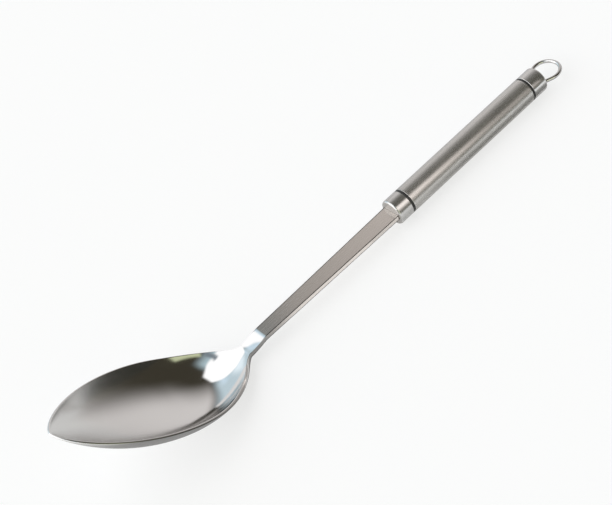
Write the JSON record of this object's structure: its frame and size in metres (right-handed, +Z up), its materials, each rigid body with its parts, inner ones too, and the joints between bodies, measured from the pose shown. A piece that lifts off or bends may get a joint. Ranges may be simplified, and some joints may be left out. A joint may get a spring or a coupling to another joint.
{
  "type": "serving spoon",
  "caption": "Steel serving spoon: a polished oval bowl on a flat tapering shank, held in a round brushed tube handle with black rings, a cap and a wire hanging loop.",
  "frame": {"origin": "middle of the spoon's length and width, on the table that the bowl and the handle rest on", "axes": "+Y along the handle from the bowl to the hanging loop, +Z up out of the bowl, X across the bowl"},
  "size_m": [0.0642, 0.358, 0.0592],
  "materials": {
    "blade_steel": "mirror polish in the bowl and neck, satin on the shank",
    "polished_steel": "fine satin, nearly polished",
    "tube_steel": "brushed along its length",
    "black_ring": "matte black",
    "wire_steel": "drawn wire, polished"
  },
  "bodies": {
    "root": {"spoon_blade": "blade_steel", "front_ferrule": "polished_steel", "tang_pin": "polished_steel", "front_ring": "black_ring", "handle_tube": "tube_steel", "rear_ring": "black_ring", "end_cap": "polished_steel", "hanging_loop": "wire_steel"}
  },
  "joints": []
}
